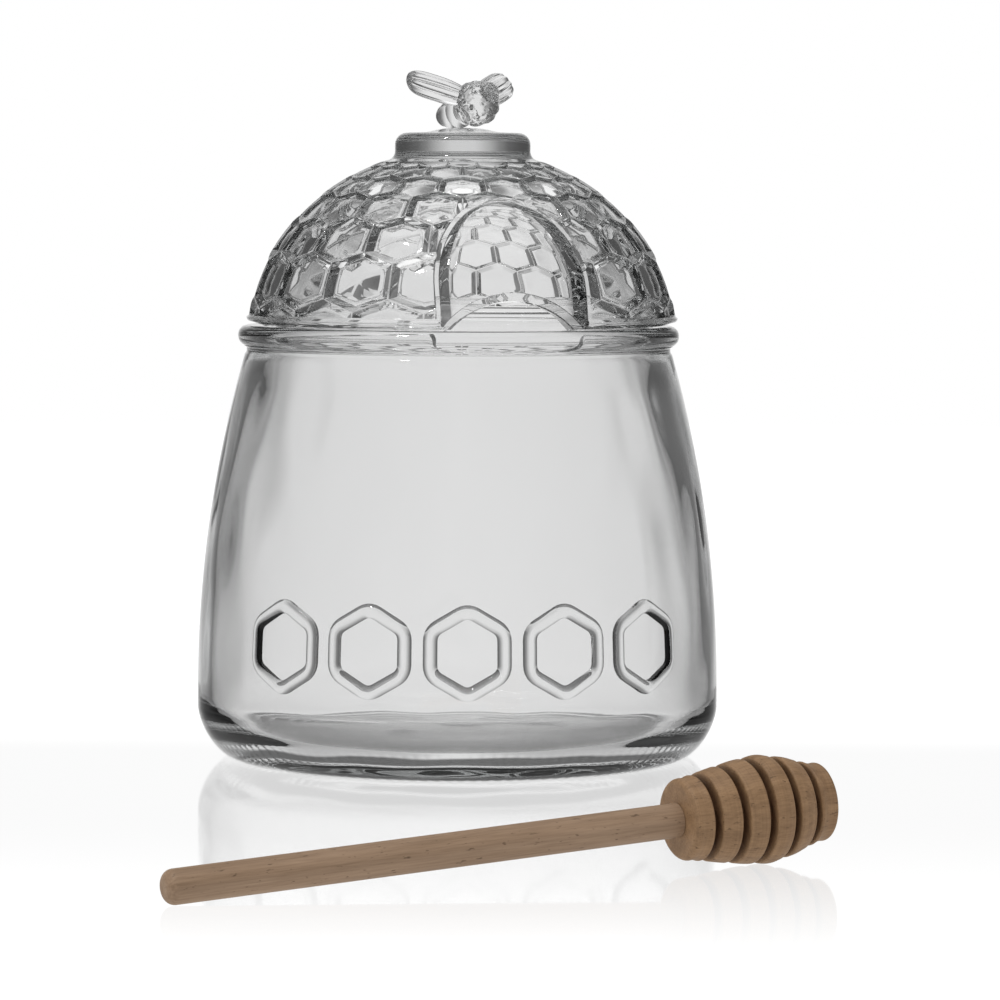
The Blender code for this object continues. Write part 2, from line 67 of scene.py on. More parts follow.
# Camera, measured from the jar's axis
CAMERA_DISTANCE = 1.10
CAMERA_HEIGHT = 0.13324
CAMERA_RIGHT = 0.00994
CAMERA_TILT = math.radians(3.778)
CAMERA_ROLL = math.radians(0.24)
SENSOR_WIDTH = 36.0
FOCAL_LENGTH = 167.3

# Jar wall
JAR_SIDES = 360
BASE_RADIUS = 0.0533
BELLY_RADIUS = 0.0616
BELLY_HEIGHT = 0.0165
HEEL_HEIGHT = 0.012
HEEL_POWER = 1.6
SHOULDER_CURVE = 1.78
WALL_TOP = 0.0953
WALL_THIN = 0.0031
WALL_THICK = 0.0057
THIN_AT = 0.019
THICK_AT = 0.091
FLOOR_HEIGHT = 0.0048
FLOOR_CORNER = 0.0100
PUNT_HEIGHT = 0.0016
BEARING_WIDTH = 0.0030
TICK_COUNT = 120
TICK_DEPTH = 0.00018
INNER_WAVE = 0.00030
OUTER_WAVE = 0.00004

# Jar rim
MOUTH_RADIUS = 0.0457
NECK_RADIUS = 0.0501
BEAD_RADIUS = 0.0521
BEAD_BOTTOM = 0.0972
RIM_HEIGHT = 0.1020
RIM_ROUND = 0.0013
BEAD_ROUND = 0.0022
NECK_HOLLOW = 0.0006

# Raised hexagon outlines round the front of the jar
MOTIF_COUNT = 5
MOTIF_MIDDLE = 0.0300
MOTIF_HEIGHT = 0.0195
MOTIF_STEP = math.radians(21.2)
MOTIF_TURN = math.radians(2.6)
MOTIF_STROKE = 0.0033
MOTIF_RELIEF = 0.0010
MOTIF_CORNER = 0.0022

# Lid
LID_SIDES = 200
LID_GAP = 0.0003
LID_SHIFT = 0.0008
LID_TURN = math.radians(15.1)
DOME_RADIUS = 0.0509
DOME_RISE = 0.0456
DOME_MIDDLE = 0.0983
DOME_WALL = 0.0068
BAND_TOP = 0.1044
BAND_RADIUS = 0.0510
BAND_BOTTOM = 0.1030
SEAT_OUTER = 0.0480
SEAT_INNER = 0.0447
FLANGE_OUTER = 0.0440
FLANGE_INNER = 0.0416
FLANGE_BOTTOM = 0.0980
FLANGE_ROUND = 0.0006
COLLAR_RADIUS = 0.0160
COLLAR_TOP = 0.1474
COLLAR_ROUND = 0.0028
COLLAR_FOOT = 0.0022
INNER_START = 0.1080
MOUND_RADIUS = 0.0102
MOUND_HEIGHT = 0.0012

# Honeycomb on the dome
CELLS_AROUND = 18
CELL_ROWS = 6
CELL_PITCH = 2 * math.pi / CELLS_AROUND
ROW_RISE = 0.2435
FIRST_ROW_HEIGHT = 0.1056
CELL_TURN = math.radians(-4.6)
CELL_DEPTH = 0.0013
CELL_TIP = 0.625
CELL_SIDE = 0.375
SIDE_STEPS = 3
# Each pair is a share of the cell's size and the share of its depth reached there.
CELL_SECTION = (
    (1.0, 0.02), (0.982, 0.05), (0.965, 0.12), (0.952, 0.20), (0.80, 0.86), (0.785, 0.94), (0.74, 1.0),
    (0.62, 1.0), (0.48, 1.0), (0.34, 1.0), (0.18, 1.0),
)
# The floor of a cell, inside this share of its size, swells by the pad's rise.
CELL_FLAT = 0.74
PAD_RISE = 0.0005
# Dome angles worked out so far, by the climb above the first row
CLIMBED = {}
SHELL_CLEARANCE = 0.0015
COLLAR_CLEARANCE = 0.0022

# Door in the dome's front and the notch below it
DOOR_HALF_WIDTH = 0.0174
DOOR_SPRING = 0.1115
DOOR_TOP = 0.1315
PANEL_DEPTH = 0.0036
PANEL_TOP_DEPTH = 0.0025
PANEL_SETBACK = 0.0347
DOOR_JAMB = 0.0032
DOOR_JAMB_TOP = 0.0008
DOOR_FRAME = 0.0008
NOTCH_HALF_WIDTH = 0.0196
NOTCH_SPRING = 0.0889
NOTCH_TOP = 0.1085
LIP_WIDTH = 0.0020
ARCH_STEPS = 40

# Bee
BEE_TURN = math.radians(30.7)
THORAX_RADIUS = 0.0053
THORAX_AT = (0.0, -0.0046, 0.1543)
HEAD_RADIUS = 0.0028
HEAD_AT = (0.0, -0.0079, 0.1565)
ABDOMEN_RADIUS = 0.0038
ABDOMEN_LENGTH = 0.0112
ABDOMEN_START = (0.0, -0.0030, 0.1532)
ABDOMEN_PITCH = math.radians(12)
ABDOMEN_RINGS = 4
WING_LENGTH = 0.0172
WING_WIDTH = 0.0074
WING_THICKNESS = 0.0034
WING_ROOT = (0.0022, -0.0036, 0.1555)
WING_SWEEP = math.radians(20)
WING_RISE = math.radians(15)
WING_ROLL = math.radians(55)
WING_RIBS = 5
RIB_RELIEF = 0.17
FUR_DEPTH = 0.00040

# Dipper
DIPPER_FOOT = (-0.05272, -0.2380)
DIPPER_YAW = math.radians(27.0)
HANDLE_RADIUS = 0.00345
HANDLE_ROUND = 0.0022
HANDLE_VISIBLE = 0.1101
JOINT_GAP = 0.0001
RING_RADII = (0.0082, 0.0093, 0.0103, 0.0109, 0.0098, 0.0079)
RING_WIDTH = 0.0041
GROOVE_WIDTH = 0.0016
GROOVE_DEPTH = 0.0028
RING_ROUND = 0.0005
FACE_ROUND = 0.0014
RING_SLOPE = 0.3
DIPPER_SIDES = 128

# Studio
FLOOR_RADIUS = 1.6
# The mirror's strength, its roughness, and where along Y from the jar's axis it is full and fades out
MIRROR_AMOUNT = 0.44
MIRROR_ROUGHNESS = 0.06
MIRROR_FULL = -0.11
MIRROR_END = -0.36
MIRROR_BACK = 0.08
FLOOR_GLOW = 1.12
# Dim glow that the glass sees on the table under the jar: painted shadow beneath the jar
UNDER_JAR_PAINTED_SHADOW = 0.12
# Brightness by the share of a half turn away from the backdrop's middle
BACKDROP = (
    (0.0, 0.86),
    (0.035, 0.86),
    (0.055, 0.76),
    (0.09, 0.54),
    (0.125, 0.30),
    (0.17, 0.16),
    (0.25, 0.10),
    (0.50, 0.06),
    (0.75, 0.15),
    (1.0, 0.30),
)
BACKDROP_TURN = math.radians(-0.7)
# Brightness of the room, as the wood sees it, by the share of the way from straight down to straight up
ROOM = (
    (0.0, 0.80),
    (0.42, 0.80),
    (0.47, 0.95),
    (0.56, 0.95),
    (0.60, 0.80),
    (0.66, 0.22),
    (0.78, 0.16),
    (0.85, 1.3),
    (1.0, 1.3),
)
# Below and above these pairs of angles the glass sees a grey table and a lamp instead of the backdrop.
BELOW_ANGLES = (math.radians(-7), math.radians(-32))
BELOW_SHARE = 0.6
BELOW_GREY = 0.78
ABOVE_ANGLES = (math.radians(48), math.radians(66))
ABOVE_GLOW = 1.2
KEY_PLACE = Vector((-0.45, -0.50, 1.20))
KEY_TARGET = Vector((0.0, 0.0, 0.08))
KEY_SIZE = 0.12
KEY_POWER = 6.0

# Materials
GLASS_IOR = 1.5
GLASS_TINT = (0.50, 0.51, 0.51, 1.0)
GLASS_DENSITY = 20.0
WOOD_ROUGHNESS = 0.62
HANDLE_LIGHT = (0.36, 0.245, 0.160)
HANDLE_DARK = (0.255, 0.165, 0.100)
HEAD_LIGHT = (0.328, 0.199, 0.103)
HEAD_DARK = (0.229, 0.134, 0.067)
# Painted shade that darkens the head's grooves by their depth below the rings
GROOVE_PAINTED_SHADE = (0.42, 0.34, 0.30)


def new_collection(name):
    """Make a collection under the scene's own."""
    collection = bpy.data.collections.new(name)
    bpy.context.scene.collection.children.link(collection)
    return collection


def add_object(name, mesh, collection):
    """Put a mesh into a collection as an object."""
    thing = bpy.data.objects.new(name, mesh)
    collection.objects.link(thing)
    return thing


def settle(thing):
    """Replace an object's mesh by what its modifiers make of it."""
    bpy.context.view_layer.update()
    graph = bpy.context.evaluated_depsgraph_get()
    mesh = bpy.data.meshes.new_from_object(thing.evaluated_get(graph))
    thing.modifiers.clear()
    thing.data = mesh


def combine(thing, operation, collection):
    """Cut or join every object of a collection with this one, and remove them."""
    step = thing.modifiers.new("combine", "BOOLEAN")
    step.operation = operation
    step.solver = "MANIFOLD"
    step.operand_type = "COLLECTION"
    step.collection = collection
    settle(thing)
    for used in list(collection.objects):
        bpy.data.objects.remove(used, do_unlink=True)
    bpy.data.collections.remove(collection)


def turned(name, profile, sides, collection):
    """Turn a profile of (radius, height) points about Z."""
    mesh = bpy.data.meshes.new(name)
    points = [(radius, 0.0, height) for radius, height in profile]
    edges = [(index, index + 1) for index in range(len(points) - 1)]
    mesh.from_pydata(points, edges, [])
    thing = add_object(name, mesh, collection)
    screw = thing.modifiers.new("turn", "SCREW")
    screw.axis = "Z"
    screw.angle = 2 * math.pi
    screw.steps = sides
    screw.render_steps = sides
    screw.use_merge_vertices = True
    screw.merge_threshold = 0.00001
    settle(thing)
    return thing


def shade(thing, degrees):
    """Shade smooth, but keep the edges that turn by more than the angle."""
    thing.data.shade_smooth()
    thing.data.set_sharp_from_angle(angle=math.radians(degrees))


def arc(centre, radius_across, radius_up, start, end, steps):
    """Points of an elliptical arc in the profile plane, ends included."""
    points = []
    for step in range(steps + 1):
        angle = start + (end - start) * step / steps
        across = centre[0] + radius_across * math.cos(angle)
        up = centre[1] + radius_up * math.sin(angle)
        points.append((across, up))
    return points


def between(low, high, steps):
    """Evenly spaced values from low to high, ends included."""
    return [low + (high - low) * step / steps for step in range(steps + 1)]


def smooth_step(value):
    """Ease from 0 to 1."""
    value = min(1.0, max(0.0, value))
    return value * value * (3 - 2 * value)


def wall_radius(height):
    """Radius of the jar's outer wall at a height above the table."""
    if height < HEEL_HEIGHT:
        short = 1 - height / HEEL_HEIGHT
        bulge = (1 - short ** HEEL_POWER) ** (1 / HEEL_POWER)
        return BASE_RADIUS + (BELLY_RADIUS - BASE_RADIUS) * bulge
    return BELLY_RADIUS - SHOULDER_CURVE * max(0.0, height - BELLY_HEIGHT) ** 2


def inner_radius(height):
    """Radius of the jar's inside, whose wall thickens towards the neck."""
    share = min(1.0, max(0.0, (height - THIN_AT) / (THICK_AT - THIN_AT)))
    return wall_radius(height) - WALL_THIN - (WALL_THICK - WALL_THIN) * share ** 1.5


def jar_profile():
    """Section of the jar, from the middle of its floor over the rim to the middle of its underside."""
    corner_top = FLOOR_HEIGHT + FLOOR_CORNER
    corner_across = inner_radius(corner_top) - FLOOR_CORNER
    points = [(0.0, FLOOR_HEIGHT)]
    points += [(corner_across * step / 12, FLOOR_HEIGHT) for step in range(1, 12)]
    points += arc((corner_across, corner_top), FLOOR_CORNER, FLOOR_CORNER, -QUARTER, 0.0, 14)
    points += [(inner_radius(height), height) for height in between(corner_top + 0.002, 0.089, 34)]
    points += [(MOUTH_RADIUS + 0.0004, 0.0928), (MOUTH_RADIUS, 0.0950), (MOUTH_RADIUS, 0.0985)]
    rim_inner = (MOUTH_RADIUS + RIM_ROUND, RIM_HEIGHT - RIM_ROUND)
    points += arc(rim_inner, RIM_ROUND, RIM_ROUND, 2 * QUARTER, QUARTER, 6)
    bead_upper = (BEAD_RADIUS - BEAD_ROUND, RIM_HEIGHT - BEAD_ROUND)
    points += arc(bead_upper, BEAD_ROUND, BEAD_ROUND, QUARTER, 0.0, 8)
    bead_lower = (BEAD_RADIUS - BEAD_ROUND, BEAD_BOTTOM + BEAD_ROUND)
    points += arc(bead_lower, BEAD_ROUND, BEAD_ROUND, 0.0, -QUARTER, 8)
    hollow = (NECK_RADIUS + NECK_HOLLOW, BEAD_BOTTOM - NECK_HOLLOW)
    points.append((NECK_RADIUS + NECK_HOLLOW, BEAD_BOTTOM))
    points += arc(hollow, NECK_HOLLOW, NECK_HOLLOW, QUARTER, 2 * QUARTER, 3)[1:]
    points.append((NECK_RADIUS, WALL_TOP + 0.0006))
    step_out = wall_radius(WALL_TOP)
    points.append(((NECK_RADIUS + step_out) / 2, WALL_TOP + 0.0002))
    points += [(wall_radius(height), height) for height in between(WALL_TOP, HEEL_HEIGHT, 56)]
    points += [(wall_radius(height), height) for height in between(HEEL_HEIGHT, 0.0, 16)[1:]]
    bearing_inner = BASE_RADIUS - BEARING_WIDTH
    points.append((BASE_RADIUS - BEARING_WIDTH / 2, 0.0))
    points.append((bearing_inner, 0.0))
    for across in between(bearing_inner - 0.0006, 0.0, 16):
        share = 1 - across / bearing_inner
        points.append((across, PUNT_HEIGHT * min(1.0, share * 4) ** 0.7))
    return points


def wave(turn, height, scale, seed):
    """Slow, smooth unevenness of pressed glass at a place on a turned wall, from -1 to 1."""
    place = Vector((math.cos(turn) * scale, math.sin(turn) * scale, height * 38 + seed))
    return noise.noise(place)


def uneven_jar(jar):
    """Give the jar's walls their soft waves and its bearing ring its fine ticks."""
    for vertex in jar.data.vertices:
        x, y, z = vertex.co
        radius = math.hypot(x, y)
        if radius < 0.001:
            continue
        turn = math.atan2(y, x)
        outside = radius > wall_radius(z) - 0.0015
        change = 0.0
        if outside and 0.004 < z < WALL_TOP:
            change = OUTER_WAVE * wave(turn, z, 2.3, 0.0)
        elif not outside and z > FLOOR_HEIGHT + 0.002:
            fade = smooth_step((z - FLOOR_HEIGHT) / 0.02) * smooth_step((0.096 - z) / 0.012)
            change = INNER_WAVE * fade * wave(turn, z, 5.0, 7.0)
        elif not outside and z > FLOOR_HEIGHT - 0.0001:
            vertex.co.z += INNER_WAVE * 0.8 * noise.noise(vertex.co * 90)
        factor = (radius + change) / radius
        vertex.co.x *= factor
        vertex.co.y *= factor
        if z < 0.0002 and radius < BASE_RADIUS + 0.0002:
            tick = round(turn / (2 * math.pi) * JAR_SIDES) % (JAR_SIDES // TICK_COUNT)
            if tick == 0:
                vertex.co.z += TICK_DEPTH


def hexagon_corner(index, radius):
    """Corner of an upright hexagon that stands on a point, as (across, up)."""
    angle = QUARTER + index * math.pi / 3
    return Vector((radius * math.cos(angle), radius * math.sin(angle)))


def hexagon_outline(radius, corner, side_steps=5, corner_steps=5):
    """Points (across, up) of an upright hexagon with rounded corners."""
    points = []
    for index in range(6):
        before, here, after = (hexagon_corner(index + shift, radius) for shift in (-1, 0, 1))
        start = here + (before - here).normalized() * corner
        end = here + (after - here).normalized() * corner
        for step in range(corner_steps):
            share = step / corner_steps
            bend = start.lerp(here, share).lerp(here.lerp(end, share), share)
            points.append(bend)
        far = after + (here - after).normalized() * corner
        points += [end.lerp(far, step / side_steps) for step in range(side_steps)]
    return points


def motif_bar(name, middle_turn, collection):
    """Round bar along one hexagon outline, sunk into the jar's wall so that its relief shows."""
    half = MOTIF_STROKE / 2
    bar_radius = (half ** 2 + MOTIF_RELIEF ** 2) / (2 * MOTIF_RELIEF)
    outline = hexagon_outline(MOTIF_HEIGHT / 2, MOTIF_CORNER)
    curve = bpy.data.curves.new(name, "CURVE")
    curve.dimensions = "3D"
    spline = curve.splines.new("POLY")
    spline.points.add(len(outline) - 1)
    for index, (across, up) in enumerate(outline):
        height = MOTIF_MIDDLE + up
        turn = middle_turn + across / BELLY_RADIUS
        radius = wall_radius(height) - bar_radius + MOTIF_RELIEF
        spline.points[index].co = (radius * math.sin(turn), -radius * math.cos(turn), height, 1.0)
    spline.use_cyclic_u = True
    curve.bevel_depth = bar_radius
    curve.bevel_resolution = 10
    guide = bpy.data.objects.new(name, curve)
    collection.objects.link(guide)
    bpy.context.view_layer.update()
    graph = bpy.context.evaluated_depsgraph_get()
    mesh = bpy.data.meshes.new_from_object(guide.evaluated_get(graph))
    bpy.data.objects.remove(guide, do_unlink=True)
    weld(mesh)
    return add_object(name, mesh, collection)


def weld(mesh):
    """Merge a mesh's doubled points and turn its faces outward."""
    body = bmesh.new()
    body.from_mesh(mesh)
    bmesh.ops.remove_doubles(body, verts=body.verts, dist=0.000004)
    bmesh.ops.recalc_face_normals(body, faces=body.faces)
    body.to_mesh(mesh)
    body.free()


def make_jar(collection, axis):
    """Jar with its raised hexagons."""
    jar = turned("jar_glass", jar_profile(), JAR_SIDES, collection)
    uneven_jar(jar)
    motifs = new_collection("motifs")
    first = MOTIF_TURN - MOTIF_STEP * (MOTIF_COUNT - 1) / 2
    for index in range(MOTIF_COUNT):
        motif_bar("motif_%d" % index, first + MOTIF_STEP * index, motifs)
    combine(jar, "UNION", motifs)
    jar.location = axis
    shade(jar, 36)
    return jar


def dome_point(angle, inset=0.0):
    """Point (radius, height) of the dome's outer face, or of one that lies inside it."""
    radius = (DOME_RADIUS - inset) * math.cos(angle)
    height = DOME_MIDDLE + (DOME_RISE - inset) * math.sin(angle)
    return radius, height


def dome_angle(height, inset=0.0):
    """Angle at which the dome's face reaches a height."""
    return math.asin((height - DOME_MIDDLE) / (DOME_RISE - inset))


def climb(angle, rise, steps=24):
    """Dome angle reached by climbing a multiple of the local radius, so that cells keep their shape."""
    for _ in range(steps):
        speed = math.hypot(DOME_RADIUS * math.sin(angle), DOME_RISE * math.cos(angle))
        angle += rise / steps * DOME_RADIUS * math.cos(angle) / speed
    return angle


def lid_profile():
    """Section of the lid, from the top of the mound down its outside and up its inside."""
    points = [(0.0, COLLAR_TOP + MOUND_HEIGHT)]
    for across in between(0.0, MOUND_RADIUS, 10)[1:]:
        swell = 0.5 + 0.5 * math.cos(math.pi * (across / MOUND_RADIUS) ** 1.6)
        points.append((across, COLLAR_TOP + MOUND_HEIGHT * swell))
    edge = (COLLAR_RADIUS - COLLAR_ROUND, COLLAR_TOP - COLLAR_ROUND)
    points += arc(edge, COLLAR_ROUND, COLLAR_ROUND, QUARTER, 0.0, 10)
    foot_across = COLLAR_RADIUS + COLLAR_FOOT
    foot_angle = math.acos(foot_across / DOME_RADIUS)
    foot = (foot_across, dome_point(foot_angle)[1] + COLLAR_FOOT)
    points += arc(foot, COLLAR_FOOT, COLLAR_FOOT, 2 * QUARTER, 2.75 * QUARTER, 8)
    band_angle = dome_angle(BAND_TOP)
    points += [dome_point(angle) for angle in between(foot_angle - 0.02, band_angle, 60)]
    points.append((BAND_RADIUS, BAND_BOTTOM + 0.0009))
    points.append((BAND_RADIUS - 0.0001, BAND_BOTTOM + 0.0005))
    points.append((BAND_RADIUS - 0.0004, BAND_BOTTOM + 0.0001))
    points.append((BAND_RADIUS - 0.0008, BAND_BOTTOM))
    seat = RIM_HEIGHT + LID_GAP
    points += [(SEAT_OUTER + 0.0004, seat + 0.0001), (SEAT_OUTER, seat), (SEAT_INNER, seat)]
    points += [(FLANGE_OUTER + 0.0002, seat - 0.0001), (FLANGE_OUTER, seat - 0.0006)]
    lower_outer = (FLANGE_OUTER - FLANGE_ROUND, FLANGE_BOTTOM + FLANGE_ROUND)
    points += arc(lower_outer, FLANGE_ROUND, FLANGE_ROUND, 0.0, -QUARTER, 4)
    lower_inner = (FLANGE_INNER + FLANGE_ROUND, FLANGE_BOTTOM + FLANGE_ROUND)
    points += arc(lower_inner, FLANGE_ROUND, FLANGE_ROUND, -QUARTER, -2 * QUARTER, 4)
    flange_top = seat + 0.0010
    points.append((FLANGE_INNER, flange_top))
    inner_start = dome_angle(INNER_START, DOME_WALL)
    start_across, start_up = dome_point(inner_start, DOME_WALL)
    for share in (0.25, 0.5, 0.75):
        bulge = math.sin(share * math.pi) * 0.0003
        across = FLANGE_INNER + (start_across - FLANGE_INNER) * share + bulge
        points.append((across, flange_top + (start_up - flange_top) * share))
    for angle in between(inner_start, QUARTER, 40):
        points.append(dome_point(angle, DOME_WALL))
    points[-1] = (0.0, points[-1][1])
    return points


class Shell:
    """Points and faces of a mesh under way, with points shared by key."""

    def __init__(self):
        self.points = []
        self.faces = []
        self.keys = {}

    def point(self, place, key=None):
        """Number of a point, which is made once for each key."""
        if key is not None and key in self.keys:
            return self.keys[key]
        self.points.append(place)
        number = len(self.points) - 1
        if key is not None:
            self.keys[key] = number
        return number

    def strip(self, outer, inner):
        """Quads between two closed rings of the same count."""
        count = len(outer)
        for index in range(count):
            after = (index + 1) % count
            self.faces.append((outer[index], outer[after], inner[after], inner[index]))

    def fan(self, ring, middle):
        """Triangles from a closed ring to its middle."""
        for index in range(len(ring)):
            self.faces.append((ring[index], ring[(index + 1) % len(ring)], middle))

    def object(self, name, collection):
        """Make the mesh object, with its faces turned outward."""
        mesh = bpy.data.meshes.new(name)
        mesh.from_pydata(self.points, [], self.faces)
        weld(mesh)
        return add_object(name, mesh, collection)


def dome_place(turn, rise, inset):
    """Place on the dome, from the turn about Z and the climb above the first row of cells."""
    key = round(rise, 5)
    if key not in CLIMBED:
        CLIMBED[key] = climb(dome_angle(FIRST_ROW_HEIGHT), rise)
    radius, height = dome_point(CLIMBED[key], inset)
    return (radius * math.sin(turn), -radius * math.cos(turn), height)


def cell_corners():
    """Corners of a cell in steps of half a pitch across; side corners are one step up, tips two."""
    return ((0, 2), (-1, 1), (-1, -1), (0, -2), (1, -1), (1, 1))


def corner_rise(steps):
    """Climb from a cell's middle, as a share of a row, for a number of steps up."""
    size = min(1.0, abs(steps)) * CELL_SIDE + max(0.0, abs(steps) - 1.0) * (CELL_TIP - CELL_SIDE)
    return math.copysign(size, steps)


def add_cell(shell, row, index):
    """Add one cell's hollow and the cover above it to the shell."""
    across = 2 * index + (1 if row % 2 == 0 else 0)
    up = 3 * row
    middle_rise = (up / 3 - 1 / 3) * ROW_RISE
    angle = climb(dome_angle(FIRST_ROW_HEIGHT), middle_rise)
    radius = dome_point(angle)[0]
    depth = CELL_DEPTH * (0.35 + 0.65 * min(1.0, radius / 0.045))
    wrap = 2 * CELLS_AROUND * SIDE_STEPS
    rim = []
    corners = cell_corners()
    for side in range(6):
        start, end = corners[side], corners[(side + 1) % 6]
        for step in range(SIDE_STEPS):
            share = step / SIDE_STEPS
            shift = (start[0] + (end[0] - start[0]) * share, start[1] + (end[1] - start[1]) * share)
            key = (round((across + shift[0]) * SIDE_STEPS) % wrap, round((up + shift[1]) * SIDE_STEPS))
            rim.append((shift, key))

    def ring(size, inset, kind):
        numbers = []
        for (shift_across, shift_up), key in rim:
            turn = CELL_TURN + (across + shift_across * size) * CELL_PITCH / 2
            rise = middle_rise + corner_rise(shift_up) * size * ROW_RISE
            pad = PAD_RISE * depth / CELL_DEPTH * max(0.0, 1 - (size / CELL_FLAT) ** 2)
            place = dome_place(turn, rise, inset - pad)
            numbers.append(shell.point(place, (kind, *key) if kind else None))
        return numbers

    previous = ring(1.0, depth * CELL_SECTION[0][1], "ridge")
    for size, share in CELL_SECTION[1:]:
        current = ring(size, depth * share, None)
        shell.strip(previous, current)
        previous = current
    middle_turn = CELL_TURN + across * CELL_PITCH / 2
    pad_top = depth * (1 - PAD_RISE / CELL_DEPTH)
    shell.fan(previous, shell.point(dome_place(middle_turn, middle_rise, pad_top)))
    cover = ring(1.0, -SHELL_CLEARANCE, "cover")
    top = shell.point(dome_place(middle_turn, middle_rise, -SHELL_CLEARANCE))
    shell.fan(list(reversed(cover)), top)


def close_shell(shell):
    """Join the hollows' open border to the covers' border."""
    count = {}
    for face in shell.faces:
        for index, start in enumerate(face):
            end = face[(index + 1) % len(face)]
            count[(start, end)] = count.get((start, end), 0) + 1
    twin = {}
    for key, number in shell.keys.items():
        if key[0] == "ridge":
            twin[number] = shell.keys[("cover", *key[1:])]
    for start, end in list(count):
        if start in twin and end in twin and (end, start) not in count:
            shell.faces.append((end, start, twin[start], twin[end]))


def arch_outline(half_width, foot, spring, top, steps=ARCH_STEPS):
    """Points (across, up) of an arch, from its right foot over the top to its left foot."""
    points = [(half_width, foot + (spring - foot) * step / 8) for step in range(8)]
    points += arc((0.0, spring), half_width, top - spring, 0.0, math.pi, steps)
    points += [(-across, up) for across, up in reversed(points[:8])]
    return points


def on_dome(across, up, inset):
    """Point at a height and a distance aside on the dome's face, or inside it."""
    share = min(0.999, max(0.0, (up - DOME_MIDDLE) / (DOME_RISE - inset)))
    radius = (DOME_RADIUS - inset) * math.sqrt(1 - share ** 2)
    return (across, -math.sqrt(max(1e-8, radius ** 2 - across ** 2)), up)


def panel_distance(height):
    """How far before the axis the middle of the door's panel lies at a height."""
    share = min(1.0, max(0.0, (height - DOOR_SPRING) / (DOOR_TOP - DOOR_SPRING)))
    depth = PANEL_DEPTH + (PANEL_TOP_DEPTH - PANEL_DEPTH) * share ** 2
    return dome_point(dome_angle(height, depth), depth)[0]


def on_panel(across, up, inset):
    """Point at a height and a distance aside on the door's panel, or behind it."""
    turn_radius = PANEL_SETBACK + panel_distance(up)
    return (across, PANEL_SETBACK + inset - math.sqrt(turn_radius ** 2 - across ** 2), up)


def lofted_arch(name, sections, collection):
    """Closed cutter through arches that shrink inward, each (outline, inset, placing function)."""
    shell = Shell()
    rings = []
    for outline, inset, place in sections:
        rings.append([shell.point(place(across, up, inset)) for across, up in outline])
    for outer, inner in zip(rings, rings[1:]):
        shell.strip(outer, inner)
    for outline, inset, place, ring, flip in (
        (*sections[0], rings[0], True),
        (*sections[-1], rings[-1], False),
    ):
        low = min(up for _, up in outline)
        high = max(up for _, up in outline)
        middle = (0.0, low + (high - low) * 0.4)
        previous = ring
        for share in (0.86, 0.70, 0.52, 0.34, 0.16):
            points = []
            for across, up in outline:
                across = middle[0] + (across - middle[0]) * share
                up = middle[1] + (up - middle[1]) * share
                points.append(shell.point(place(across, up, inset)))
            shell.strip(points, previous) if flip else shell.strip(previous, points)
            previous = points
        hub = shell.point(place(*middle, inset))
        shell.fan(previous, hub)
    return shell.object(name, collection)


def make_door(cutters):
    """Cutter for the door's recess: sloped jambs round a smooth panel that is flatter than the dome."""
    foot = BAND_BOTTOM - 0.004
    sections = []
    for share, inset, place in (
        (1.0, -0.003, on_dome),
        (1.0, -0.0001, on_dome),
        (0.95, 0.0001, on_dome),
        (0.84, 0.0005, on_dome),
        (0.24, -0.0006, on_panel),
        (0.08, -0.0001, on_panel),
        (0.0, 0.0, on_panel),
    ):
        half_width = DOOR_HALF_WIDTH - DOOR_JAMB * (1 - share)
        top = DOOR_TOP - DOOR_JAMB_TOP * (1 - share)
        sections.append((arch_outline(half_width, foot, DOOR_SPRING, top), inset, place))
    lofted_arch("door", sections, cutters)


def make_notch(cutters):
    """Cutter for the notch, with the sloped lip round it."""
    foot = NOTCH_SPRING - 0.001
    sections = []
    for grow, inset in (
        (LIP_WIDTH, -0.008),
        (LIP_WIDTH, -0.0001),
        (LIP_WIDTH * 0.88, 0.0002),
        (LIP_WIDTH * 0.45, 0.0004),
        (LIP_WIDTH * 0.12, 0.0006),
        (0.0, 0.0011),
        (0.0, 0.020),
    ):
        outline = arch_outline(NOTCH_HALF_WIDTH + grow, foot, NOTCH_SPRING, NOTCH_TOP + grow * 1.2)
        sections.append((outline, inset, on_panel))
    lofted_arch("notch", sections, cutters)


def arch_slab(name, outline, near, far, collection):
    """Upright slab of an outline, between two distances before the axis."""
    shell = Shell()
    front = [shell.point((across, -far, up)) for across, up in outline]
    back = [shell.point((across, -near, up)) for across, up in outline]
    shell.strip(front, back)
    shell.faces.append(tuple(reversed(front)))
    shell.faces.append(tuple(back))
    return shell.object(name, collection)


def make_cells(cutters):
    """All the cells of the dome as one cutter, kept off the door, the band and the collar."""
    shell = Shell()
    for row in range(CELL_ROWS + 1):
        for index in range(CELLS_AROUND):
            add_cell(shell, row, index)
    close_shell(shell)
    cells = shell.object("cells", cutters)
    plain = new_collection("plain_areas")
    surround = arch_outline(
        DOOR_HALF_WIDTH + DOOR_FRAME, BAND_BOTTOM - 0.005, DOOR_SPRING, DOOR_TOP + DOOR_FRAME
    )
    arch_slab("door_surround", surround, 0.028, 0.062, plain)
    band = [(0.0, BAND_TOP + 0.0004), (0.07, BAND_TOP + 0.0004), (0.07, 0.09), (0.0, 0.09)]
    turned("band", band, LID_SIDES, plain)
    clear_radius = COLLAR_RADIUS + COLLAR_CLEARANCE + COLLAR_FOOT / 2
    collar = [(0.0, 0.16), (clear_radius, 0.16), (clear_radius, 0.12), (0.0, 0.12)]
    turned("collar", collar, LID_SIDES, plain)
    combine(cells, "DIFFERENCE", plain)


